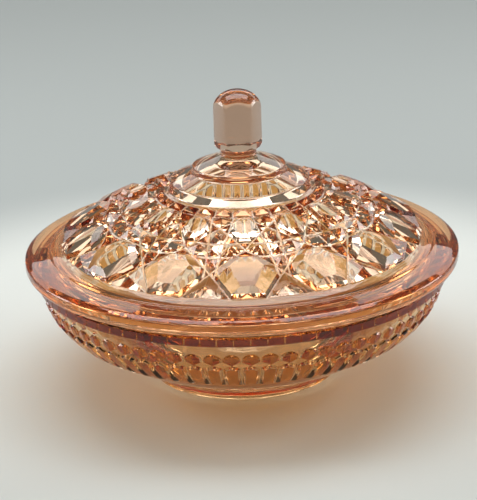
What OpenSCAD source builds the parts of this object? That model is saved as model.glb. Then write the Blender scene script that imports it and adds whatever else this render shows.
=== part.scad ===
// Covered candy dish in pressed glass: a fluted bowl pressed in one with its foot, and a domed
// lid pressed in one with its knob. Millimetres, +Z up, origin at the middle of the resting face.

/* [Bowl] */
// Diameter of the foot where it stands
foot_d = 80; // [76:1:82]
// Height of the plain foot under the bowl
foot_h = 4; // [3.5:0.5:4.5]
// Diameter of the bowl at its shoulder, under the notched band
bowl_d = 164.6; // [163:0.2:166]
// Height of the shoulder, where the notched band starts
shoulder_h = 41.5; // [40.5:0.5:42]
// Height of the bowl's flat rim
rim_h = 46.8; // [46.6:0.2:47.4]
// Thickness of the bowl's wall
wall = 4.4; // [4:0.1:5]
// Flutes pressed round the bowl
flutes = 70; // [56:14:70]
// Notches cut in the band under the rim
notches = 84; // [56:14:84]

/* [Lid] */
// Diameter of the lid's rim, the widest place of the dish
lid_d = 178; // [176:1:180]
// Height of the flange's outer edge above the table
flange_edge_h = 53.7; // [53:0.1:54.5]
// Height above the table of the crown that carries the knob
crown_h = 91.2; // [90:0.2:92]
// Thickness of the lid under its buttons
lid_wall = 5; // [4.5:0.1:5.5]
// Buttons in each of the two rows round the lid
buttons = 14; // [12:1:14]
// Width of an outer button across its flats
outer_button_w = 22.9; // [20:0.1:23]
// Width of an inner button across its flats
inner_button_w = 12.7; // [11:0.1:13]

/* [Knob] */
// Width of the six-sided knob across its flats
knob_w = 17.4; // [16:0.2:18.6]
// Top of the knob above the table, the full height of the dish
top_h = 118.1; // [116:0.1:120]

/* [Hidden] */

glass = [0.86, 0.70, 0.58, 0.6];
// Sides of a full turn, so that every round face stays a true one
round_fn = 96;
// Pieces of each curved stretch of the outlines
curve_steps = 7;

// Air between the lid's seat and the bowl's rim, and between its locating ring and the mouth
seat_gap = 0.2;
mouth_gap = 1;

foot_r = foot_d / 2;
bowl_r = bowl_d / 2;
// The waist over the foot, where the fluted side starts
waist_r = foot_r + 2.7;
// The recess that leaves the foot standing on a ring
recess_r = foot_r - 4;
recess_h = 2;
floor_h = foot_h + wall;
mouth_r = bowl_r - wall + 0.8;
// The notched band that stands proud under the rim
band_r = bowl_r + 1.8;
band_h = 2.2;
rim_r = band_r + 0.4;
notch_w = 0.9;
notch_depth = 0.8;
// The two rows of prints that make up the flutes: share of the way up the side, width and depth
upper_print = [0.76, 6.2];
lower_print = [0.42, 5];
print_depth = 1.2;

lid_r = lid_d / 2;
seat_h = rim_h + seat_gap;
lid_edge_h = seat_h + 0.6;
ring_out_r = mouth_r - mouth_gap;
ring_in_r = ring_out_r - 2.6;
ring_h = seat_h - 2.6;
// Stations down the lid's outside, as radius and height: the crown's two tiers, then the slope
tier_1 = [19.1, crown_h - 4.1];
tier_2 = [28.4, crown_h - 10];
tier_foot = [30.5, crown_h - 13.9];
inner_top = [34, crown_h - 15.5];
inner_low = [50, 69.6];
outer_top = [56, 66.5];
flange_top = [75.3, flange_edge_h + 2.4];
// How far a button stands out of the slope, and the share of its width that is its flat top
button_rise = 2;
button_sunk = 1.5;
table_share = 0.62;

neck_r = 7.3;
neck_h = 2.9;
knob_base_h = crown_h + neck_h;
knob_corner_r = knob_w / 2 / cos(30);
// Rounding of the knob's upright corners, its lower end and its domed top
knob_softness = 0.3;
knob_low_round = 2.4;
knob_dome = 8;

// A point at share t of the way along the cubic curve with the four control points p
function curve_at(p, t) =
    pow(1 - t, 3) * p[0] + 3 * pow(1 - t, 2) * t * p[1] + 3 * (1 - t) * t * t * p[2] + pow(t, 3) * p[3];

// The curve as a list of points
function curve(p) = [for (i = [0 : curve_steps]) curve_at(p, i / curve_steps)];

// The angle under the horizon of the straight line from point a down to point b
function fall(a, b) = atan2(a.y - b.y, b.x - a.x);

// The point at share t of a quarter ellipse that starts straight above its centre
function quarter(centre, size, t) = [centre.x + size.x * sin(90 * t), centre.y + size.y * cos(90 * t)];

side_control = [
    [waist_r, foot_h], [waist_r + 13.3, foot_h + 9.5], [bowl_r - 1.2, 0.52 * shoulder_h], [bowl_r, shoulder_h]
];
inside_control = [
    [mouth_r, rim_h], [mouth_r - 1.2, rim_h / 2], [waist_r + 12.3, floor_h + 4], [waist_r - 8, floor_h]
];

// Half section of the bowl and its foot
module bowl_section() {
    foot = [
        [0, recess_h], [recess_r - 2, recess_h], [recess_r, 0], [foot_r - 1, 0], [foot_r, 1],
        [foot_r + 1, foot_h - 1]
    ];
    band = [
        [band_r, shoulder_h + 0.4], [band_r, shoulder_h + band_h], [band_r - 0.8, shoulder_h + band_h + 0.5],
        [rim_r, rim_h - 1], [rim_r - 0.6, rim_h]
    ];
    polygon(concat(foot, curve(side_control), band, curve(inside_control), [[0, floor_h]]));
}

// One row of round prints pressed into the side, which leaves ribs between them
module print_row(print) {
    place = curve_at(side_control, print[0]);
    slope = fall(place, curve_at(side_control, print[0] - 0.01)) + 90;
    ball_r = (print[1] * print[1] / 4 + print_depth * print_depth) / (2 * print_depth);
    reach = ball_r - print_depth;
    for (i = [0 : flutes - 1])
        rotate([0, 0, i * 360 / flutes])
            translate([place.x - reach * cos(slope), 0, place.y + reach * sin(slope)])
                sphere(r = ball_r, $fn = round_fn);
}

module notch_row() {
    for (i = [0 : notches - 1])
        rotate([0, 0, (i + 0.5) * 360 / notches])
            translate([band_r - notch_depth, -notch_w / 2, shoulder_h + 0.8])
                cube([2 * notch_depth, notch_w, band_h - 1.2]);
}

module bowl() {
    color(glass)
        difference() {
            rotate_extrude($fn = round_fn) bowl_section();
            print_row(upper_print);
            print_row(lower_print);
            notch_row();
        }
}

// Half section of the lid, from the neck down the stepped crown and the slope to the rim, and back
module lid_section() {
    neck = [
        [0, knob_base_h], [neck_r, knob_base_h], [neck_r, crown_h + 0.8], [neck_r + 1, crown_h]
    ];
    crown = [
        [14, crown_h - 1.9], tier_1, tier_1 - [0, 1.9], tier_1 - [0.5, 2.6], tier_2, tier_2 - [-0.2, 3.7]
    ];
    flange = [
        flange_top, flange_top + [3.2, -1.1], [lid_r - 1.8, flange_edge_h],
        [lid_r - 0.5, flange_edge_h - 0.8], [lid_r, flange_edge_h - 2], [lid_r, lid_edge_h + 1.2],
        [lid_r - 0.8, lid_edge_h], [lid_r - 4, seat_h]
    ];
    ring = [
        [ring_out_r, seat_h], [ring_out_r, ring_h + 0.6], [ring_out_r - 0.6, ring_h], [ring_in_r, ring_h],
        [ring_in_r - 1.6, seat_h + lid_wall - 1]
    ];
    inside = [
        outer_top - [0, lid_wall + 0.6], inner_low - [0, lid_wall + 0.4], inner_top - [0, lid_wall],
        tier_2 - [1.4, 9.4], tier_1 - [3.1, 8.5], [9, crown_h - 10.6], [0, crown_h - 10]
    ];
    polygon(concat(neck, crown, [tier_foot, inner_top, inner_low, outer_top], flange, ring, inside));
}

// One row of eight-sided buttons between two stations, each with a flat top that follows the slope
module button_row(high, low, width) {
    middle = (high + low) / 2;
    corner_r = width / 2 / cos(22.5);
    for (i = [0 : buttons - 1])
        rotate([0, 0, i * 360 / buttons - 90])
            translate([middle.x, 0, middle.y])
                rotate([0, fall(high, low), 0])
                    rotate([0, 0, 22.5]) {
                        translate([0, 0, -button_sunk])
                            cylinder(r = corner_r, h = button_sunk + button_rise / 2, $fn = 8);
                        cylinder(r = table_share * corner_r, h = button_rise, $fn = 8);
                    }
}

// The knob: a six-sided bar with rounded ends and one flat towards the front
module knob() {
    bar_r = knob_corner_r - knob_softness;
    shares = [for (i = [0 : curve_steps]) i / curve_steps];
    dome = [for (t = shares) quarter([0, top_h - knob_dome], [bar_r, knob_dome], t)];
    low_centre = [bar_r - knob_low_round, knob_base_h + knob_low_round];
    low_end = [for (t = shares) quarter(low_centre, [knob_low_round, -knob_low_round], 1 - t)];
    intersection() {
        rotate_extrude($fn = round_fn) polygon(concat(dome, low_end, [[0, knob_base_h]]));
        translate([0, 0, crown_h]) cylinder(r = knob_corner_r, h = top_h, $fn = 6);
    }
}

module lid() {
    color(glass) {
        rotate_extrude($fn = round_fn) lid_section();
        button_row(inner_top, inner_low, inner_button_w);
        button_row(outer_top, flange_top, outer_button_w);
        knob();
    }
}

bowl();
lid();
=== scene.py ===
"""Covered candy dish in pressed pink glass: a fluted bowl, and a lid with two rows of buttons and a knob."""
from math import atan2, cos, exp, hypot, log, pi, radians, sin, sqrt, tan

import bmesh
import bpy
from mathutils import Matrix, Vector


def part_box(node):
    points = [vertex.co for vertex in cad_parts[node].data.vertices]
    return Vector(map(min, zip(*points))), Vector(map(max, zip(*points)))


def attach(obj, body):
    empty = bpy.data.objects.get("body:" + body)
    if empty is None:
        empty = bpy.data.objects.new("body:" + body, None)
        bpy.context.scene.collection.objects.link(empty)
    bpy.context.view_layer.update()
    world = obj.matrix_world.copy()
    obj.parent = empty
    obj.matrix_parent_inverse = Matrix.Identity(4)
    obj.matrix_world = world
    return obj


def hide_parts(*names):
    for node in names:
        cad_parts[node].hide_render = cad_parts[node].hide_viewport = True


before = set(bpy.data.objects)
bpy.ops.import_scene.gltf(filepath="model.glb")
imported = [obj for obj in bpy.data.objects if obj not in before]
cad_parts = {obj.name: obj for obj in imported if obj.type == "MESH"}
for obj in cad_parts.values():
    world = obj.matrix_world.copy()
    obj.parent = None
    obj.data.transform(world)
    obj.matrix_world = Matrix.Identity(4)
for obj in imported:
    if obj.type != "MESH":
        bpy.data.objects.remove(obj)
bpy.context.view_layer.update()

bl_info = {
    "name": "Pressed Glass Candy Dish",
    "version": (1, 0, 0),
    "blender": (4, 5, 0),
    "location": "View3D > Sidebar > Candy Dish",
    "description": "Builds a covered candy dish in pressed pink glass and a plain studio round it",
    "category": "Add Mesh",
}

MM = 0.001
# Marks of the faces that get painted shade: a darker colour laid on the glass where it looks darker because of
# how light goes through it. An unmarked face is clear
CELL, BLOCK = 1, 2
PYRAMID, FLANGE, KNOB = 1, 2, 3

# The sizes that the frame gives: the rim of each piece, the top of the knob and the seat between them
BOWL_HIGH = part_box("bowl")[1]
LID_LOW, LID_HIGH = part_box("lid")
RIM_H = BOWL_HIGH.z
TOP_H = LID_HIGH.z
LID_R = (LID_HIGH.x - LID_LOW.x) / 2
BAND_R = BOWL_HIGH.y


# ---------------------------------------------------------------- settings

class DishSizes(bpy.types.PropertyGroup):
    """Sizes of the pattern. The outlines of the two pieces come from the frame and the stations below."""
    buttons: bpy.props.IntProperty(
        name="Buttons", description="Buttons in each of the two rows round the lid", default=14, min=12, max=16)
    flutes: bpy.props.IntProperty(
        name="Flutes", description="Flutes of the bowl in each sector of the lid", default=5, min=4, max=6)
    notches: bpy.props.IntProperty(
        name="Notches", description="Notches of the bowl's band in each sector of the lid",
        default=6, min=5, max=6)
    groove: bpy.props.FloatProperty(
        name="Groove", description="Half the width of the grooves between the cells of the lid",
        default=0.3 * MM, unit="LENGTH")
    pyramid: bpy.props.FloatProperty(
        name="Pyramid", description="Height of the tallest pyramids over the grooves",
        default=2.7 * MM, unit="LENGTH")
    seat_gap: bpy.props.FloatProperty(
        name="Seat gap", description="Air between the bowl's rim and the lid's seat",
        default=0.25 * MM, unit="LENGTH")
    edge_round: bpy.props.FloatProperty(
        name="Edge rounding", description="Width of the fire-polished edges of the buttons",
        default=0.3 * MM, unit="LENGTH")
    button_rise: bpy.props.FloatProperty(
        name="Button rise", description="Height of an outer button's flat top over the grooves",
        default=3.2 * MM, unit="LENGTH")
    flute_rise: bpy.props.FloatProperty(
        name="Flute rise", description="Height of the bowl's cells over the lines between them",
        default=1.0 * MM, unit="LENGTH")


def srgb(code):
    """A hex colour as three shares of 1, still sRGB."""
    return tuple(int(code[k:k + 2], 16) / 255 for k in (1, 3, 5))


def linear(colour):
    """An sRGB colour as the linear shares of 1 that shaders take."""
    return [c / 12.92 if c <= 0.04045 else ((c + 0.055) / 1.055) ** 2.4 for c in colour]


class GlassLook(bpy.types.PropertyGroup):
    """The colour and polish of the glass, and the painted shade on some of its faces."""
    lid_tint: bpy.props.FloatVectorProperty(
        name="Lid tint", description="Colour that the lid's glass leaves in light, as sRGB",
        subtype="COLOR_GAMMA", size=3, default=srgb("#EEC581"))
    lid_strength: bpy.props.FloatProperty(
        name="Lid tint strength", description="How fast the lid's glass takes that colour, per metre",
        default=56)
    bowl_tint: bpy.props.FloatVectorProperty(
        name="Bowl tint", description="Colour that the bowl's glass leaves in light, as sRGB",
        subtype="COLOR_GAMMA", size=3, default=srgb("#F4CB50"))
    bowl_strength: bpy.props.FloatProperty(
        name="Bowl tint strength", description="How fast the bowl's glass takes that colour, per metre",
        default=90)
    # Painted shade: the band's proud blocks under the lid's flange are painted dark red, for the shadow under the
    # flange
    band_painted_shade: bpy.props.FloatVectorProperty(
        name="Band tint", description="Colour of the blocks of the bowl's notched band, as sRGB",
        subtype="COLOR_GAMMA", size=3, default=srgb("#5E1202"))
    # Painted shade: the bowl's cells and the plain strip under them are painted a darker amber, and the lines
    # between stay clear, for the contrast that light through the flutes gives
    cell_painted_shade: bpy.props.FloatVectorProperty(
        name="Cell tint", description="Colour of the faces of the bowl's cells, as sRGB",
        subtype="COLOR_GAMMA", size=3, default=srgb("#CA7E2A"))
    # Painted shade: the lid's smaller pyramids are painted darker, for the dark sides that light through them
    # shows
    pyramid_painted_shade: bpy.props.FloatVectorProperty(
        name="Pyramid tint", description="Colour of the small pyramids of the lid, as sRGB",
        subtype="COLOR_GAMMA", size=3, default=srgb("#E9B08C"))
    # Painted shade: the lid's flange is painted darker and more saturated, for how its reflections and the light
    # through it look
    flange_painted_shade: bpy.props.FloatVectorProperty(
        name="Flange tint", description="Colour of the lid's flange, as sRGB",
        subtype="COLOR_GAMMA", size=3, default=srgb("#F4CAA4"))
    # Painted shade: the knob over its neck is painted greyer and darker, for the darker backdrop seen through it
    knob_painted_shade: bpy.props.FloatVectorProperty(
        name="Knob tint", description="Colour of the knob over its neck, as sRGB",
        subtype="COLOR_GAMMA", size=3, default=srgb("#E9D8D6"))
    shade_tint: bpy.props.FloatVectorProperty(
        name="Shade tint", description="Light that one skin of the glass lets through into its shadow, as sRGB",
        subtype="COLOR_GAMMA", size=3, default=srgb("#C9C4B8"))
    ior: bpy.props.FloatProperty(
        name="Refraction", description="Index of refraction of soda-lime glass", default=1.52)
    polish: bpy.props.FloatProperty(
        name="Roughness", description="Roughness of the fire-polished skin", default=0.015)


class StudioLook(bpy.types.PropertyGroup):
    """The table's paper, with a painted pool of light: pale round the dish and grey further out."""
    # Painted light: the paper is painted paler round the dish and greyer further out, a pool of light painted on
    # it
    near: bpy.props.FloatVectorProperty(
        name="Near paper", description="Colour of the matt paper under and round the dish, as sRGB",
        subtype="COLOR_GAMMA", size=3, default=srgb("#DEE1DC"))
    far: bpy.props.FloatVectorProperty(
        name="Far paper", description="Colour of the paper away from the dish, as sRGB",
        subtype="COLOR_GAMMA", size=3, default=srgb("#AEB3B1"))
    near_r: bpy.props.FloatProperty(
        name="Pale radius", description="Distance from the dish's axis to which the paper is pale",
        default=0.16, unit="LENGTH")
    far_r: bpy.props.FloatProperty(
        name="Grey radius", description="Distance from the dish's axis from which the paper is grey",
        default=0.27, unit="LENGTH")


# ---------------------------------------------------------------- outlines

def mm(*points):
    """Pairs in millimetres as pairs in metres."""
    return [(x * MM, z * MM) for x, z in points]


def cubic(p, t):
    """The point at share t along the cubic curve with the four control points p."""
    s = 1 - t
    weights = (s ** 3, 3 * s * s * t, 3 * s * t * t, t ** 3)
    return tuple(sum(w * q[k] for w, q in zip(weights, p)) for k in range(2))


# The most of a side that the rounding of one corner may take
SIDE_SHARE = 0.45
# Distance from a corner, in radii of its rounding, of the points that keep the flats beside it flat
FLAT_HOLD = 1.35


def along(a, b, distance):
    """The point at that distance from a towards b, and at most SIDE_SHARE of the way."""
    gap = hypot(b[0] - a[0], b[1] - a[1])
    share = min(distance / gap, SIDE_SHARE)
    return (a[0] + (b[0] - a[0]) * share, a[1] + (b[1] - a[1]) * share)


def soften(points, radius, steps=3):
    """The outline with its corners rounded, and a point just before and after each so that flats stay flat."""
    made = [points[0]]
    for a, b, c in zip(points, points[1:], points[2:]):
        start, end = along(b, a, radius), along(b, c, radius)
        made.append(along(b, a, FLAT_HOLD * radius))
        for k in range(steps + 1):
            t = k / steps
            weights = ((1 - t) ** 2, 2 * t * (1 - t), t * t)
            made.append(tuple(sum(w * q for w, q in zip(weights, column)) for column in zip(start, b, end)))
        made.append(along(b, c, FLAT_HOLD * radius))
    made.append(points[-1])
    return made


def height_on(outline, r):
    """The height and the fall per unit of radius at radius r on an outline of growing radius."""
    for (r0, z0), (r1, z1) in zip(outline, outline[1:]):
        if r <= r1:
            break
    slope = (z1 - z0) / (r1 - r0)
    return z0 + slope * (r - r0), slope


# ---------------------------------------------------------------- mesh helpers

def new_object(name, bm, material, cells=(), painted_shades=()):
    """The finished bmesh as an object at the origin, with its faces pointing outwards. Edges of the given cells
    are sharp from a slight angle on, and all others from a wide one. A face's mark picks its painted shade, a
    darker colour that stands in for how light goes through the glass there."""
    bmesh.ops.remove_doubles(bm, verts=bm.verts[:], dist=0.002 * MM)
    bmesh.ops.recalc_face_normals(bm, faces=bm.faces[:])
    for f in bm.faces:
        f.smooth = True
    for e in bm.edges:
        slight = all(f in cells for f in e.link_faces)
        e.smooth = e.calc_face_angle(0) < radians(8 if slight else 30)
    marks = bm.faces.layers.int.get("mark")
    if marks:
        # Painted shade: each marked face gets a darker colour, and unmarked faces stay white
        painted_shade = bm.faces.layers.float_color.new("painted_shade")
        for f in bm.faces:
            f[painted_shade] = (*linear(painted_shades[f[marks] - 1]), 1) if f[marks] else (1, 1, 1, 1)
        bm.faces.layers.int.remove(marks)
    mesh = bpy.data.meshes.new(name)
    bm.to_mesh(mesh)
    bm.free()
    mesh.materials.append(material)
    piece = bpy.data.objects.new(name, mesh)
    bpy.context.scene.collection.objects.link(piece)
    return piece


def cut(bm, at, direction, faces=None):
    """Cuts the given faces, or all of them, along the line in the plan through the point at."""
    faces = bm.faces[:] if faces is None else faces
    geometry = list({g for f in faces for g in (f, *f.edges, *f.verts)})
    bmesh.ops.bisect_plane(
        bm, geom=geometry, dist=1e-7, plane_co=(at[0], at[1], 0), plane_no=(-direction[1], direction[0], 0))


def face_at(bm, x, y):
    """The face of a flat mesh that holds the plan point."""
    def inside(face):
        points = [(l.vert.co.x, l.vert.co.y) for l in face.loops]
        sides = [(b[0] - a[0]) * (y - a[1]) - (b[1] - a[1]) * (x - a[0])
                 for a, b in zip(points, points[1:] + points[:1])]
        return min(sides) > 0 or max(sides) < 0
    return next(f for f in bm.faces if inside(f))


def rim_edges(bm, low, high):
    """The open edges of bm whose middles lie between two distances from the axis."""
    found = []
    for e in bm.edges:
        middle = (e.verts[0].co + e.verts[1].co) / 2
        if e.is_boundary and low < hypot(middle.x, middle.y) < high:
            found.append(e)
    return found


def draw_out(bm, edges, stations, reach=lambda r, z, angle: r):
    """Extrudes a loop of edges round the axis through stations of radius and height. Gives the last loop.
    reach(radius, height, angle) may change a station's radius with the angle."""
    for r, z in stations:
        made = bmesh.ops.extrude_edge_only(bm, edges=edges)["geom"]
        edges = [g for g in made if isinstance(g, bmesh.types.BMEdge)]
        for v in {v for e in edges for v in e.verts}:
            angle = atan2(v.co.y, v.co.x)
            radius = reach(r, z, angle)
            v.co = (radius * cos(angle), radius * sin(angle), z)
    return edges


def close_centre(bm, edges):
    """Closes a small loop round the axis with a fan."""
    bmesh.ops.edgeloop_fill(bm, edges=edges)
    bmesh.ops.poke(bm, faces=[f for f in bm.faces if len(f.verts) == len(edges)])


def split_long(bm, edges, length):
    """Splits each edge into pieces of about that length."""
    for e in edges:
        cuts = round(e.calc_length() / length) - 1
        if cuts > 0:
            bmesh.ops.subdivide_edges(bm, edges=[e], cuts=cuts)


# ---------------------------------------------------------------- lid

# Stations of the lid's slope, as radius and height of the grooves
SLOPE = mm((30.5, 77.3), (34.6, 75.5), (48.8, 70), (55.2, 66.9), (76, 55.9))
INNER_BAND, INNER_ROW, MID_LOW, MID_HIGH, PATTERN_END = (r for r, z in SLOPE)
# Radii of the buttons' middles, and of the crossings of grooves in the middle band and between outer buttons
INNER_BUTTON = 42 * MM
OUTER_BUTTON = 64.3 * MM
MID_CROSS = 52.2 * MM
GAP_CROSS = 63.3 * MM
# The corner at an inner button's widest place, where its slanted sides meet
SIDE_CORNER = (43.6 * MM, 6.3 * MM)
# Lean of the long grooves from the inner button's upper corners to the gaps between outer buttons
LONG_LEAN = 0.31
# Lean of the grooves that cross the band above the inner buttons
CROSS_LEAN = 0.12
# A point in the cell beside an inner button's upper half
BESIDE_INNER = (37 * MM, 6.5 * MM)
# Distance inside the outer buttons' middles from which on the grooves beside them turn outwards
TURN_BACK = 3.8 * MM
# Width of the bevel between a button's steep frame and its table, before the table is made round
BEVEL_W = 1.2 * MM
# Shares of a button's rise that its steep frame and its bevel take
FRAME_SHARE, BEVEL_SHARE = 0.55, 0.45
# Height of a pyramid as a share of its cell's width
PYRAMID_SHARE = 0.5
# Length of the pieces of the pattern's round edges, from which the crown and the flange are drawn out
CROWN_STEP, FLANGE_STEP = 1.9 * MM, 2.4 * MM


def lattice(n):
    """The flat plan of the lid's cells, all the way round: straight grooves in every sector."""
    half = pi / n
    bm = bmesh.new()
    inner, outer = INNER_BAND, PATTERN_END * cos(half)
    corners = [(inner, -1), (outer, -1), (outer, 1), (inner, 1)]
    bm.faces.new([bm.verts.new((u, side * u * tan(half), 0)) for u, side in corners])
    for u in (INNER_ROW, MID_LOW, MID_CROSS, MID_HIGH):
        cut(bm, (u, 0), (0, 1))
    corner_u, corner_v = SIDE_CORNER
    gap_u, gap_v = GAP_CROSS * cos(half), GAP_CROSS * sin(half)
    slant = atan2(gap_v, gap_u - MID_CROSS)
    fall = corner_v / (MID_CROSS - corner_u)
    # Where the inner buttons' lower sides meet between two of them, and where they go on from there
    meet_u = MID_CROSS * fall / (fall + tan(half))
    meet_v = meet_u * tan(half)
    turned = 2 * half + atan2(fall, 1)
    for side in (-1, 1):
        band = [f for f in bm.faces if f.calc_center_median().x < INNER_ROW]
        cut(bm, (0, 0), (1, side * CROSS_LEAN), band)
        rows = [f for f in bm.faces if f.calc_center_median().x > INNER_ROW]
        cut(bm, (corner_u, side * corner_v), (1, side * LONG_LEAN), rows)
        inward = [f for f in bm.faces if INNER_ROW < f.calc_center_median().x < MID_CROSS]
        cut(bm, (MID_CROSS, 0), (-1, side * fall), inward)
        corner = [face_at(bm, BESIDE_INNER[0], side * BESIDE_INNER[1])]
        cut(bm, (meet_u, side * meet_v), (cos(turned), side * sin(turned)), corner)
        outward = [f for f in bm.faces if f.calc_center_median().x > MID_CROSS]
        cut(bm, (MID_CROSS, 0), (cos(slant), side * sin(slant)), outward)
        beyond = [f for f in bm.faces if f.calc_center_median().x > OUTER_BUTTON - TURN_BACK]
        cut(bm, (gap_u, side * gap_v), (cos(2 * half - slant), side * sin(2 * half - slant)), beyond)

    def spare(e):
        """True for an edge across the middle crossing, or of a long groove past a button's widest place."""
        u, v = [w.co.x for w in e.verts], [abs(w.co.y) for w in e.verts]
        across = max(abs(x - MID_CROSS) for x in u) < 1e-6
        on_long = max(abs(y - corner_v - LONG_LEAN * (x - corner_u)) for x, y in zip(u, v)) < 1e-6
        return across or on_long and min(u) > gap_u + 0.5 * MM
    spares = [e for e in bm.edges if not e.is_boundary and spare(e)]
    bmesh.ops.dissolve_edges(bm, edges=spares, use_verts=True)
    bmesh.ops.spin(
        bm, geom=bm.verts[:] + bm.edges[:] + bm.faces[:], cent=(0, 0, 0), axis=(0, 0, 1),
        angle=2 * pi * (n - 1) / n, steps=n - 1, use_duplicate=True)
    bmesh.ops.rotate(bm, verts=bm.verts[:], cent=(0, 0, 0), matrix=Matrix.Rotation(-pi / 2, 3, "Z"))
    bmesh.ops.remove_doubles(bm, verts=bm.verts[:], dist=0.01 * MM)
    seams = [e for e in bm.edges if not e.is_boundary and all(on_seam(v.co, n) for v in e.verts)]
    bmesh.ops.dissolve_edges(bm, edges=seams, use_verts=True)
    return bm


def sector_angle(co, n):
    """The angle of a point from the middle of its sector, and that middle's own angle."""
    angle = atan2(co.y, co.x) + pi / 2
    k = round(angle / (2 * pi / n))
    return angle - k * 2 * pi / n, k * 2 * pi / n - pi / 2


def on_seam(co, n):
    """True for a point on the line between two sectors."""
    return abs(abs(sector_angle(co, n)[0]) - pi / n) < 1e-4


def shape_cells(bm, n, sizes):
    """Raises every cell of the flat plan: buttons with a steep frame, a bevel and a table, and pyramids. Gives
    the radius of the button's middle for every corner of its bevel and table."""
    # Each row: radius, share of the rise, width of the steep frame, radius of the table, cuts in every side
    rows = ((OUTER_BUTTON, 1.0, 0.9 * MM, 7 * MM, 0), (INNER_BUTTON, 0.8, 0.45 * MM, 4.4 * MM, 1))
    buttons = {row[0]: [f for f in bm.faces if is_button(f, row[0], n)] for row in rows}
    cells = [f for f in bm.faces if not any(f in faces for faces in buttons.values())]
    bmesh.ops.inset_individual(bm, faces=bm.faces[:], thickness=sizes.groove, use_even_offset=True)
    marks = bm.faces.layers.int["mark"]
    for f in cells:
        height = min(PYRAMID_SHARE * sqrt(f.calc_area()), sizes.pyramid)
        made = bmesh.ops.poke(bm, faces=[f])
        made["verts"][0].co.z = height
        # Painted shade: all but the tallest pyramids are marked for a darker colour
        for side in made["faces"]:
            side[marks] = PYRAMID if height < sizes.pyramid else 0
    flat = {}
    for radius, share, frame_w, table_r, cuts in rows:
        rise = sizes.button_rise * share
        faces = buttons[radius]
        if cuts:
            edges = list({e for f in faces for e in f.edges})
            bmesh.ops.subdivide_edges(bm, edges=edges, cuts=cuts)
        bmesh.ops.inset_individual(
            bm, faces=faces, thickness=frame_w, depth=FRAME_SHARE * rise, use_even_offset=True)
        flat.update((v, radius) for f in faces for v in f.verts)
        bmesh.ops.inset_individual(
            bm, faces=faces, thickness=BEVEL_W, depth=BEVEL_SHARE * rise, use_even_offset=True)
        for f in faces:
            middle = sector_angle(f.calc_center_median(), n)[1]
            centre = Vector((radius * cos(middle), radius * sin(middle), 0))
            count = len(f.verts)
            for v in f.verts:
                flat[v] = radius
                turn = atan2(v.co.y - centre.y, v.co.x - centre.x) - middle
                even = (round(turn / (2 * pi / count) - 0.5) + 0.5) * 2 * pi / count if count == 8 else turn
                v.co.x = centre.x + table_r * cos(even + middle)
                v.co.y = centre.y + table_r * sin(even + middle)
    return flat


def is_button(face, radius, n):
    """True for the face in the middle of a sector at that radius."""
    centre = face.calc_center_median()
    return abs(sector_angle(centre, n)[0]) < 0.02 and abs(hypot(centre.x, centre.y) - radius) < 2 * MM


def drape(bm, n, planar):
    """Lays the flat cells on the lid's slope. A button's upper bevel and table stay flat."""
    for v in bm.verts:
        rise = v.co.z
        offset, middle = sector_angle(v.co, n)
        r = hypot(v.co.x, v.co.y)
        if v in planar:
            centre, slope = height_on(SLOPE, planar[v])
            u, w = r * cos(offset), r * sin(offset)
            lean = 1 / hypot(1, slope)
            height = centre + slope * (u - planar[v]) + rise * lean
            u -= rise * slope * lean
            v.co = (u * cos(middle) - w * sin(middle), u * sin(middle) + w * cos(middle), height)
        else:
            height, slope = height_on(SLOPE, r)
            lean = 1 / hypot(1, slope)
            grown = (r - rise * slope * lean) / r
            v.co = (v.co.x * grown, v.co.y * grown, height + rise * lean)


def soft_least(a, b, sharpness=5 / MM):
    """The lesser of two lengths, with the corner between them rounded."""
    low = min(a, b)
    return low - log(1 + exp(-sharpness * abs(a - b))) / sharpness


# The knob: distance of its flats and of its corners from the axis, height of its dome, and height and rounding of
# its low end
KNOB_FLAT = 8.7 * MM
KNOB_ROUND = 9.85 * MM
KNOB_DOME = 8 * MM
KNOB_BASE = 94.1 * MM
KNOB_LOW_ROUND = 2.2 * MM


def knob_reach(r, z, angle):
    """The knob's radius: six flats, one to the front, within a round bar that ends in a dome."""
    if z < KNOB_BASE + 0.3 * MM:
        return r
    off_flat = (angle + pi / 2 + pi / 6) % (pi / 3) - pi / 6
    return soft_least(KNOB_FLAT / cos(off_flat), r)


def knob_stations():
    """Radius and height from the neck up the knob's low rounding, its bar and its dome."""
    low = KNOB_LOW_ROUND
    made = []
    for k in range(6):
        a = k / 5 * pi / 2
        made.append((KNOB_ROUND - low + low * sin(a), KNOB_BASE + low - low * cos(a)))
    bar_top = TOP_H - KNOB_DOME
    made += [(KNOB_ROUND, KNOB_BASE + low + (bar_top - KNOB_BASE - low) * k / 4) for k in range(1, 4)]
    made += [(KNOB_ROUND * cos(k / 14 * pi / 2), bar_top + KNOB_DOME * sin(k / 14 * pi / 2)) for k in range(14)]
    return made


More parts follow.
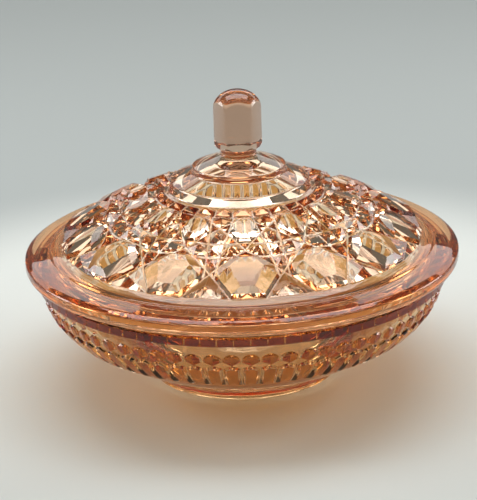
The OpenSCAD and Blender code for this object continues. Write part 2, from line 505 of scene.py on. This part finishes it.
def build_lid(sizes, look, material):
    """The lid: its patterned slope, then the crown and knob inwards, and the flange and underside outwards."""
    n = sizes.buttons
    bm = lattice(n)
    marks = bm.faces.layers.int.new("mark")
    planar = shape_cells(bm, n, sizes)
    drape(bm, n, planar)
    edges = [e for e in bm.edges if all(v in planar for v in e.verts)]
    bmesh.ops.bevel(
        bm, geom=edges, offset=sizes.edge_round, offset_type="OFFSET", segments=2, profile=0.5, affect="EDGES",
        material=-1, clamp_overlap=True)
    patterned = set(bm.faces)
    inner = rim_edges(bm, 0, MID_LOW)
    outer = rim_edges(bm, MID_LOW, 1)
    split_long(bm, inner, CROWN_STEP)
    split_long(bm, outer, FLANGE_STEP)
    crown = soften(mm(
        (30.1, 77.2), (28.9, 77.4), (28.3, 81.3), (19.4, 84.4), (19.1, 85.2), (19.1, 87.0), (13.5, 89.2),
        (9.2, 90.6), (7.3, 91.6), (7.2, 94.2)), 0.5 * MM)
    loop = draw_out(bm, rim_edges(bm, 0, MID_LOW), crown)
    loop = draw_out(bm, loop, knob_stations(), knob_reach)
    close_centre(bm, loop)
    seat, edge = (RIM_H + sizes.seat_gap) / MM, LID_R / MM
    under = mm(
        (76.6, 55.6), (78.6, 55.1), (79, 54.6), (86.9, 53.4), (edge, 52.2), (edge, 48.9), (88.1, 47.7),
        (85.2, seat), (77.7, seat), (77.4, 44.5), (74.9, 44.5), (73.6, 51.6), (56, 62.1), (49, 65.6),
        (34, 71.9), (27, 73.6), (16, 81.3), (9, 84), (0.4, 84.6))
    loop = draw_out(bm, rim_edges(bm, MID_LOW, 1), soften(under, 0.6 * MM))
    close_centre(bm, loop)
    for f in bm.faces:
        middle = f.calc_center_median()
        # Painted shade: the flange's faces are marked for a darker colour
        if hypot(middle.x, middle.y) > PATTERN_END + 0.5 * MM:
            f[marks] = FLANGE
        # Painted shade: the knob's faces are marked for a greyer, darker colour
        elif middle.z > KNOB_BASE:
            f[marks] = KNOB
    painted_shades = (look.pyramid_painted_shade, look.flange_painted_shade, look.knob_painted_shade)
    return new_object("lid_glass", bm, material, patterned, painted_shades)


# ---------------------------------------------------------------- bowl

SIDE = mm((42.7, 4), (56, 13.5), (81.1, 21.6), (82.3, 41.5))
INSIDE = mm((78.7, 46.8), (77.5, 23.4), (55, 12.4), (34.7, 8.4))
# Radius at which the flutes' flat plan has its true width
PLAN_R = 66 * MM
# Heights of the notched band's two edges, and depth of its notches
BAND_LOW = 42 * MM
BAND_TOP = 45 * MM
NOTCH_DEPTH = 0.35 * MM
# Heights on the side of the long cell's foot, of its top with the ridged cell over it, and of the arched head
FLUTE_LOW, FLUTE_MID, FLUTE_HEAD = 20.3 * MM, 33 * MM, 37.9 * MM
# Half the heights of the Vs that part the two cells and that end the long one
FLUTE_POINT, FLUTE_TAIL = 0.8 * MM, 2.2 * MM
# Steps from the lines up to the face of each cell: width and share of the rise
LONG_STEPS = ((0.2 * MM, 0), (0.5 * MM, 0.6), (0.5 * MM, 0.4))
RIDGED_STEPS = ((0.2 * MM, 0), (0.5 * MM, 0.5))
# A radius between the open edges of the fluted side, at the foot and at the band
SIDE_MIDDLE_R = 60 * MM


def side_outline(steps=80):
    """Distance along the bowl's side, radius and height, at equal steps of the curve."""
    made, length = [], 0
    for k in range(steps + 1):
        r, z = cubic(SIDE, k / steps)
        if made:
            length += hypot(r - made[-1][1], z - made[-1][2])
        made.append((length, r, z))
    return made


def on_side(outline, s):
    """Radius, height and outward normal at distance s along the side."""
    for a, b in zip(outline, outline[1:]):
        if s <= b[0]:
            break
    t = (s - a[0]) / (b[0] - a[0])
    r, z = a[1] + t * (b[1] - a[1]), a[2] + t * (b[2] - a[2])
    gap = b[0] - a[0]
    return r, z, (b[2] - a[2]) / gap, -(b[1] - a[1]) / gap


def distance_at(outline, z):
    """Distance along the side at which it reaches height z."""
    return next(s for s, r, height in outline if height >= z)


def flute(outline, pitch, rise):
    """The flat plan of one flute: a ridged cell with an arched head over a long one with a flat top. Half of it
    is cut and mirrored."""
    h = pitch / 2
    low, mid, head = (distance_at(outline, z) for z in (FLUTE_LOW, FLUTE_MID, FLUTE_HEAD))
    end = outline[-1][0]
    point, tail = FLUTE_POINT, FLUTE_TAIL
    bm = bmesh.new()
    marks = bm.faces.layers.int.new("mark")
    bm.faces.new([bm.verts.new((x, y, 0)) for x, y in ((0, 0), (h, 0), (h, end), (0, end))])
    cut(bm, (0, mid - point), (h, 2 * point))
    cut(bm, (0, mid - point), (h, -2 * point), [face_at(bm, 0.5 * h, mid - 3 * point)])
    cut(bm, (0, low + tail), (h, -2 * tail))
    for degrees in (12, 38, 64, 90):
        a = radians(degrees)
        arch = (h * cos(a), head - h + h * sin(a))
        cut(bm, arch, (-sin(a), cos(a)), [face_at(bm, 0.05 * h, mid + 0.5 * MM)])
    bmesh.ops.mirror(bm, geom=bm.verts[:] + bm.edges[:] + bm.faces[:], merge_dist=1e-6, axis="X")
    bmesh.ops.recalc_face_normals(bm, faces=bm.faces[:])
    if bm.faces[0].normal.z < 0:
        bmesh.ops.reverse_faces(bm, faces=bm.faces[:])
    ridged = [face_at(bm, side * 0.05 * h, mid + 0.5 * MM) for side in (-1, 1)]
    above = [f for f in bm.faces if f.calc_center_median().y > head - h and f not in ridged]
    inner = [e for e in bm.edges if len(e.link_faces) == 2 and (
        all(f in above for f in e.link_faces)
        or abs(e.verts[0].co.x) + abs(e.verts[1].co.x) < 1e-7 and e.link_faces[0] not in ridged)]
    bmesh.ops.dissolve_edges(bm, edges=inner, use_verts=False)
    long_cell = [face_at(bm, 0.02 * h, mid - 4 * point)]
    for cell, cell_steps in ((long_cell, LONG_STEPS), (ridged, RIDGED_STEPS)):
        for width, share in cell_steps:
            bmesh.ops.inset_region(
                bm, faces=cell, thickness=width, depth=share * rise, use_even_offset=True, use_boundary=True)
    # Painted shade: the cells and the plain strip under them are marked for the darker amber colour
    for f in (*long_cell, *ridged, face_at(bm, 0.3 * h, 0.5 * low)):
        f[marks] = CELL
    for v in {v for f in ridged for v in f.verts if abs(v.co.x) < 1e-6}:
        v.co.z += 0.5 * rise
    steps = 14
    for k in range(1, steps):
        cut(bm, (0, end * k / steps), (1, 0))
    for k in range(-2, 3):
        plain = [f for f in bm.faces if f.calc_center_median().y > head]
        cut(bm, (k * pitch / 6, 0), (0, 1), plain)
    return bm


def build_bowl(sizes, look, material):
    """The bowl: the fluted side, then the notched band, rim and inside upwards, and the foot downwards."""
    count = sizes.buttons * sizes.flutes
    notches = sizes.buttons * sizes.notches
    outline = side_outline()
    pitch = 2 * pi * PLAN_R / count
    bm = flute(outline, pitch, sizes.flute_rise)
    for v in bm.verts:
        r, z, out, up = on_side(outline, v.co.y)
        angle = v.co.x / PLAN_R - pi / 2
        reach = r + v.co.z * out
        v.co = (reach * cos(angle), reach * sin(angle), z + v.co.z * up)
    bmesh.ops.spin(
        bm, geom=bm.verts[:] + bm.edges[:] + bm.faces[:], cent=(0, 0, 0), axis=(0, 0, 1),
        angle=2 * pi * (count - 1) / count, steps=count - 1, use_duplicate=True)
    bmesh.ops.remove_doubles(bm, verts=bm.verts[:], dist=0.02 * MM)
    fluted = set(bm.faces)

    def on_notch(angle):
        turn = (angle + pi / 2) / (2 * pi) * notches
        return abs(turn - round(turn)) < 0.02

    def notched(r, z, angle):
        deep = on_notch(angle) and r > BAND_R - 0.5 * MM and BAND_LOW + 0.2 * MM < z < BAND_TOP
        return r - NOTCH_DEPTH if deep else r

    # Edges that run into a notch are split close to it, which keeps the notch narrow
    shares = {}
    for e in rim_edges(bm, SIDE_MIDDLE_R, 1):
        ends = [on_notch(atan2(v.co.y, v.co.x)) for v in e.verts]
        if any(ends):
            shares[e] = 0.2 if ends[0] else 0.8
    bmesh.ops.subdivide_edges(bm, edges=list(shares), cuts=1, edge_percents=shares)

    band = mm((83.2, 41.7))
    band += [(BAND_R, z) for z in (BAND_LOW, BAND_LOW + 0.3 * MM, BAND_TOP - 0.3 * MM, BAND_TOP)]
    band += mm((83.3, 45.3), (83.2, 45.7), (83.8, 46), (83.8, 46.4))
    band += [(83.4 * MM, RIM_H), (79.1 * MM, RIM_H)]
    loop = draw_out(bm, rim_edges(bm, SIDE_MIDDLE_R, 1), band, notched)
    inside = [cubic(INSIDE, k / 18) for k in range(1, 19)]
    loop = draw_out(bm, loop, [(78.75 * MM, RIM_H - 0.5 * MM), *inside, *mm((20, 8.4), (0.4, 8.4))])
    close_centre(bm, loop)
    foot = soften(mm((42.2, 3.2), (40.6, 2.6), (39.6, 0), (36.4, 0), (35, 2), (0.4, 2.2)), 0.5 * MM)
    loop = draw_out(bm, rim_edges(bm, 0, SIDE_MIDDLE_R), foot)
    close_centre(bm, loop)
    # Painted shade: the band's proud blocks are marked for the dark red of the shadow under the lid's flange
    marks = bm.faces.layers.int["mark"]
    for f in bm.faces:
        if f in fluted:
            continue
        middle = f.calc_center_median()
        proud = abs(hypot(middle.x, middle.y) - BAND_R) < 0.1 * MM
        f[marks] = BLOCK if proud and BAND_LOW + 0.1 * MM < middle.z < BAND_TOP - 0.1 * MM else 0
    return new_object("bowl_glass", bm, material, fluted, (look.cell_painted_shade, look.band_painted_shade))


# ---------------------------------------------------------------- materials

def add_node(tree, kind, links=None, **settings):
    """A new node with its settings. links maps an input's name or number to the socket that feeds it, or to its
    value."""
    node = tree.nodes.new(kind)
    for name, value in settings.items():
        setattr(node, name, value)
    for name, value in (links or {}).items():
        if isinstance(value, bpy.types.NodeSocket):
            tree.links.new(value, node.inputs[name])
        else:
            node.inputs[name].default_value = value
    return node


def glass(name, look, tint, strength):
    """Pressed soda-lime glass, fire-polished: a clear, faintly wavy skin over glass that turns amber where light
    goes far through it. Colours painted on the piece's faces darken it there: painted shade for how light goes
    through the pressed faces. Lamps shine through the glass, so that its shadow is warm and soft."""
    material = bpy.data.materials.new(name)
    material.use_nodes = True
    tree = material.node_tree
    tree.nodes.clear()
    place = add_node(tree, "ShaderNodeTexCoord").outputs["Object"]
    wave = add_node(tree, "ShaderNodeTexNoise", {"Vector": place, "Scale": 1 / (9 * MM), "Detail": 1.0})
    skin = add_node(tree, "ShaderNodeBump", {
        "Height": wave.outputs["Fac"], "Strength": 0.12, "Distance": 0.3 * MM})
    # Painted shade: the colours painted on the mesh's faces darken the glass where it looks darker because of how
    # light goes through it
    painted_shade = add_node(tree, "ShaderNodeAttribute", attribute_name="painted_shade").outputs["Color"]
    clear = add_node(tree, "ShaderNodeBsdfPrincipled", {
        "Base Color": painted_shade, "Roughness": look.polish, "IOR": look.ior,
        "Transmission Weight": 1.0, "Normal": skin.outputs["Normal"]})
    shade = add_node(tree, "ShaderNodeBsdfTransparent", {"Color": (*linear(look.shade_tint), 1)})
    to_lamp = add_node(tree, "ShaderNodeLightPath").outputs["Is Shadow Ray"]
    both = add_node(tree, "ShaderNodeMixShader", {
        0: to_lamp, 1: clear.outputs["BSDF"], 2: shade.outputs["BSDF"]})
    depth = add_node(tree, "ShaderNodeVolumeAbsorption", {
        "Color": (*linear(tint), 1), "Density": strength})
    add_node(tree, "ShaderNodeOutputMaterial", {
        "Surface": both.outputs["Shader"], "Volume": depth.outputs["Volume"]})
    return material


def paper(look):
    """Matt backdrop paper with a painted pool of light: pale under the dish, and greyer away from it."""
    material = bpy.data.materials.new("backdrop_paper_painted_light_pool")
    material.use_nodes = True
    tree = material.node_tree
    tree.nodes.clear()
    place = add_node(tree, "ShaderNodeTexCoord").outputs["Object"]
    distance = add_node(tree, "ShaderNodeVectorMath", {"Vector": place}, operation="LENGTH").outputs["Value"]
    # Painted light: paler within the pale radius of the dish's axis, greyer beyond the grey radius
    share = add_node(tree, "ShaderNodeMapRange", {
        "Value": distance, "From Min": look.near_r, "From Max": look.far_r}, interpolation_type="SMOOTHSTEP")
    shade = add_node(tree, "ShaderNodeMix", {"Factor": share.outputs["Result"]}, data_type="RGBA")
    colours = [k for k in shade.inputs if k.type == "RGBA"]
    colours[0].default_value = (*linear(look.near), 1)
    colours[1].default_value = (*linear(look.far), 1)
    grain = add_node(tree, "ShaderNodeTexNoise", {"Vector": place, "Scale": 1 / (1.5 * MM), "Detail": 2.0})
    tooth = add_node(tree, "ShaderNodeBump", {
        "Height": grain.outputs["Fac"], "Strength": 0.2, "Distance": 0.05 * MM})
    result = next(k for k in shade.outputs if k.type == "RGBA")
    shader = add_node(tree, "ShaderNodeBsdfPrincipled", {
        "Base Color": result, "Roughness": 0.85, "Specular IOR Level": 0.2, "Normal": tooth.outputs["Normal"]})
    add_node(tree, "ShaderNodeOutputMaterial", {"Surface": shader.outputs["BSDF"]})
    return material


# ---------------------------------------------------------------- operators

class DISH_OT_lid(bpy.types.Operator):
    """Builds the lid with its knob, in place of the plain one"""
    bl_idname = "dish.lid"
    bl_label = "Lid"

    def execute(self, context):
        look = context.scene.glass_look
        skin = glass("pink_glass_pressed_lid", look, look.lid_tint, look.lid_strength)
        piece = build_lid(context.scene.dish_sizes, look, skin)
        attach(piece, "lid")
        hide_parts("lid")
        return {"FINISHED"}


class DISH_OT_bowl(bpy.types.Operator):
    """Builds the fluted bowl with its foot, in place of the plain one"""
    bl_idname = "dish.bowl"
    bl_label = "Bowl"

    def execute(self, context):
        look = context.scene.glass_look
        skin = glass("pink_glass_pressed_bowl", look, look.bowl_tint, look.bowl_strength)
        piece = build_bowl(context.scene.dish_sizes, look, skin)
        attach(piece, "bowl")
        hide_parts("bowl")
        return {"FINISHED"}


# Colour and strength of the light that the room sends from all round
ROOM_COLOUR = "#DBE0DE"
ROOM_STRENGTH = 0.24
# Each lamp: name, place, size of its face, power in watts, and the point that it faces
LAMPS = (
    ("top_softbox", (0, 0.25, 0.85), (1.0, 0.42), 5.5, (0, 0.1, 0)),
    ("back_softbox", (0, 1.6, 0.9), (5.0, 0.8), 19, (0, 1.4, 0)),
    ("left_softbox", (-0.85, 0.25, 0.3), (0.3, 0.5), 3.3, (0, 0, 0.06)),
    ("right_softbox", (0.85, 0.25, 0.3), (0.3, 0.5), 3.1, (0, 0, 0.06)),
)


def aim(thing, at, target):
    """Puts an object at a place and points its -Z at the target."""
    thing.location = at
    thing.rotation_mode = "QUATERNION"
    thing.rotation_quaternion = (Vector(target) - Vector(at)).to_track_quat("-Z", "Y")


def softbox(name, at, size, power, target):
    """A rectangular lamp with an even face."""
    lamp = bpy.data.lights.new(name, "AREA")
    lamp.shape = "RECTANGLE"
    lamp.size, lamp.size_y = size
    lamp.energy = power
    holder = bpy.data.objects.new(name, lamp)
    bpy.context.scene.collection.objects.link(holder)
    aim(holder, at, target)


class DISH_OT_studio(bpy.types.Operator):
    """Builds the paper, the lamps and the camera"""
    bl_idname = "dish.studio"
    bl_label = "Studio"

    def execute(self, context):
        scene = context.scene
        bm = bmesh.new()
        bmesh.ops.create_circle(bm, cap_ends=True, segments=96, radius=3.5)
        table = new_object("paper_table", bm, paper(scene.studio_look))

        world = bpy.data.worlds.new("soft_room")
        scene.world = world
        world.use_nodes = True
        sky = world.node_tree.nodes["Background"]
        sky.inputs["Color"].default_value = (*linear(srgb(ROOM_COLOUR)), 1)
        sky.inputs["Strength"].default_value = ROOM_STRENGTH
        for name, at, size, power, target in LAMPS:
            softbox(name, at, size, power, target)
        # Light needs many turns to leave thick faceted glass
        scene.cycles.max_bounces = 32
        scene.cycles.transmission_bounces = 32
        scene.cycles.glossy_bounces = 12
        scene.view_settings.view_transform = "Standard"

        lens = bpy.data.cameras.new("camera")
        camera = bpy.data.objects.new("camera", lens)
        scene.collection.objects.link(camera)
        scene.camera = camera
        place_camera(camera)
        return {"FINISHED"}


# The camera stands at a distance and a height over the horizon from a point on the dish's axis, a little to the
# left of the front. It is rolled, then tipped down and turned so that the dish sits over the picture's middle
VIEW_FROM = Vector((0, 0, 65.8 * MM))
VIEW_UP = radians(18.63)
VIEW_DISTANCE = 712 * MM
VIEW_TURN = radians(-1.48969)
VIEW_ROLL = radians(-1.89)
VIEW_DROP = radians(1.221684)
VIEW_YAW = radians(0.066047)
# Focal length on a sensor 36 mm wide, both in millimetres
LENS_LENGTH = 124.92
SENSOR_WIDTH = 36


def place_camera(camera):
    """Stands the camera a little above the dish and points it."""
    lens = camera.data
    lens.sensor_fit = "AUTO"
    lens.sensor_width = SENSOR_WIDTH
    lens.lens = LENS_LENGTH
    lens.clip_start, lens.clip_end = 0.02, 20
    back = Vector((sin(VIEW_TURN) * cos(VIEW_UP), -cos(VIEW_TURN) * cos(VIEW_UP), sin(VIEW_UP)))
    camera.location = VIEW_FROM + back * VIEW_DISTANCE
    camera.rotation_mode = "QUATERNION"
    level = (-back).to_track_quat("-Z", "Y")
    roll = Matrix.Rotation(VIEW_ROLL, 4, "Z").to_quaternion()
    drop = Matrix.Rotation(-VIEW_DROP, 4, "X").to_quaternion()
    yaw = Matrix.Rotation(VIEW_YAW, 4, "Y").to_quaternion()
    camera.rotation_quaternion = level @ roll @ drop @ yaw


class DISH_PT_panel(bpy.types.Panel):
    """Lists the sizes, the looks and the steps"""
    bl_idname = "DISH_PT_panel"
    bl_label = "Candy Dish"
    bl_space_type = "VIEW_3D"
    bl_region_type = "UI"
    bl_category = "Candy Dish"

    def draw(self, context):
        for group in (context.scene.dish_sizes, context.scene.glass_look, context.scene.studio_look):
            for name in group.bl_rna.properties.keys():
                if name not in ("rna_type", "name"):
                    self.layout.prop(group, name)
        for step in STEPS:
            self.layout.operator(step.bl_idname)


STEPS = (DISH_OT_bowl, DISH_OT_lid, DISH_OT_studio)
CLASSES = (DishSizes, GlassLook, StudioLook, *STEPS, DISH_PT_panel)


def register():
    for cls in CLASSES:
        bpy.utils.register_class(cls)
    bpy.types.Scene.dish_sizes = bpy.props.PointerProperty(type=DishSizes)
    bpy.types.Scene.glass_look = bpy.props.PointerProperty(type=GlassLook)
    bpy.types.Scene.studio_look = bpy.props.PointerProperty(type=StudioLook)


def unregister():
    del bpy.types.Scene.dish_sizes
    del bpy.types.Scene.glass_look
    del bpy.types.Scene.studio_look
    for cls in reversed(CLASSES):
        bpy.utils.unregister_class(cls)


def main():
    """Builds the whole scene."""
    register()
    bpy.ops.dish.bowl()
    bpy.ops.dish.lid()
    bpy.ops.dish.studio()


if __name__ == "__main__":
    main()
